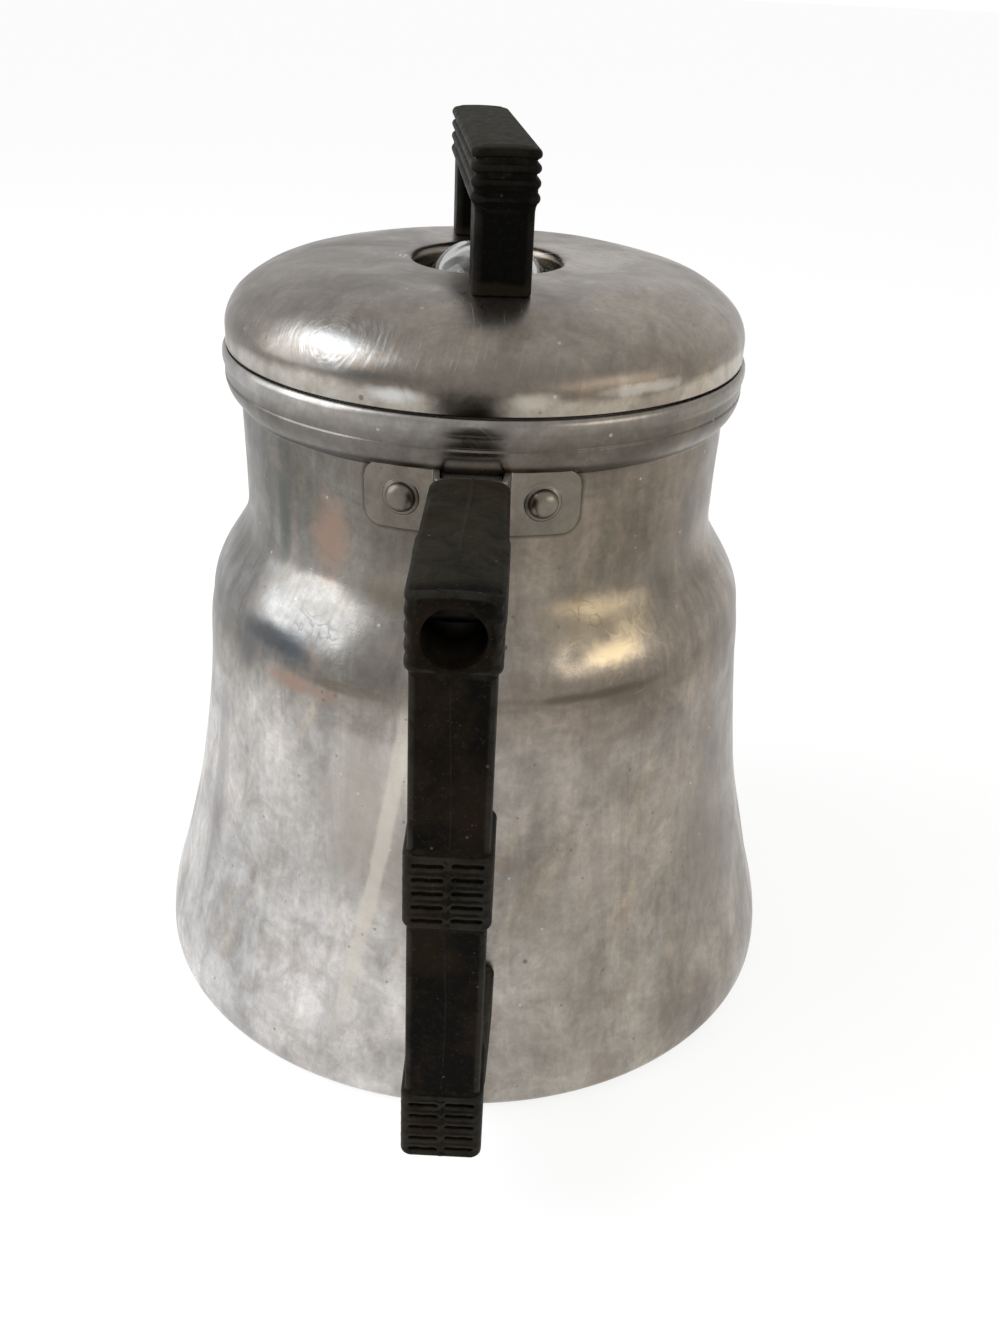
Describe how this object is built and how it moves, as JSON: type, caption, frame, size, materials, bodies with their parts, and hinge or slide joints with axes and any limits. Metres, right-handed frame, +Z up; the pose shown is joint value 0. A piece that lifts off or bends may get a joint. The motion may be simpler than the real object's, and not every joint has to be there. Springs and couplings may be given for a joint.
{
  "type": "moka pot",
  "caption": "Stovetop coffee percolator: bell-shaped aluminium pot with moulded handle and spout, lift-off lid with bridge handle and glass dome, pump, basket and spreader inside.",
  "frame": {"origin": "on the pot's axis at the centre of its flat base", "axes": "+Z up, the pot handle at -Y, the spout at +Y"},
  "size_m": [0.165, 0.22, 0.2089],
  "materials": {
    "aluminium": "worn satin",
    "bracket_sheet": "dull, stained",
    "inner_aluminium": "plain matt",
    "bakelite": "dusty black with worn edges",
    "steel": "dull zinc plated",
    "glass": "clear"
  },
  "bodies": {
    "pot": {"pot_base": "aluminium", "pot_flare": "aluminium", "pot_shoulder": "aluminium", "pot_neck": "aluminium", "spout": "aluminium", "handle_bracket": "bracket_sheet", "bracket_rivets": "bracket_sheet", "pot_handle": "bakelite", "handle_screw": "steel", "handle_washer": "steel", "handle_nut": "steel"},
    "lid": {"lid_shell": "aluminium", "lid_seat_ring": "inner_aluminium", "glass_dome": "glass", "dome_retainer": "inner_aluminium", "lid_handle": "bakelite", "lid_handle_screws": "steel", "lid_handle_washers": "steel"},
    "pump": {"pump_tube": "inner_aluminium", "tube_stop": "inner_aluminium", "pump_foot": "inner_aluminium"},
    "basket": {"coffee_basket": "inner_aluminium", "basket_sleeve": "inner_aluminium"},
    "spreader": {"spreader": "inner_aluminium"},
    "valve": {"valve_disc": "steel"}
  },
  "joints": [
    {"name": "lid_lift", "type": "slide", "parent": "pot", "child": "lid", "axis": [0, 0, 1], "range_m": [0, 0.33]},
    {"name": "pump_lift", "type": "slide", "parent": "pot", "child": "pump", "axis": [0, 0, 1], "range_m": [0, 0.165]},
    {"name": "basket_lift", "type": "slide", "parent": "pump", "child": "basket", "axis": [0, 0, 1], "range_m": [0, 0.0825]},
    {"name": "spreader_lift", "type": "slide", "parent": "basket", "child": "spreader", "axis": [0, 0, 1], "range_m": [0, 0.0561]},
    {"name": "valve_rise", "type": "slide", "parent": "pump", "child": "valve", "axis": [0, 0, 1], "range_m": [0, 0.0015]}
  ],
  "couplings": [
    {"joint": "pump_lift", "follows": "lid_lift", "ratio": 0.5},
    {"joint": "basket_lift", "follows": "lid_lift", "ratio": 0.25},
    {"joint": "spreader_lift", "follows": "lid_lift", "ratio": 0.17}
  ]
}
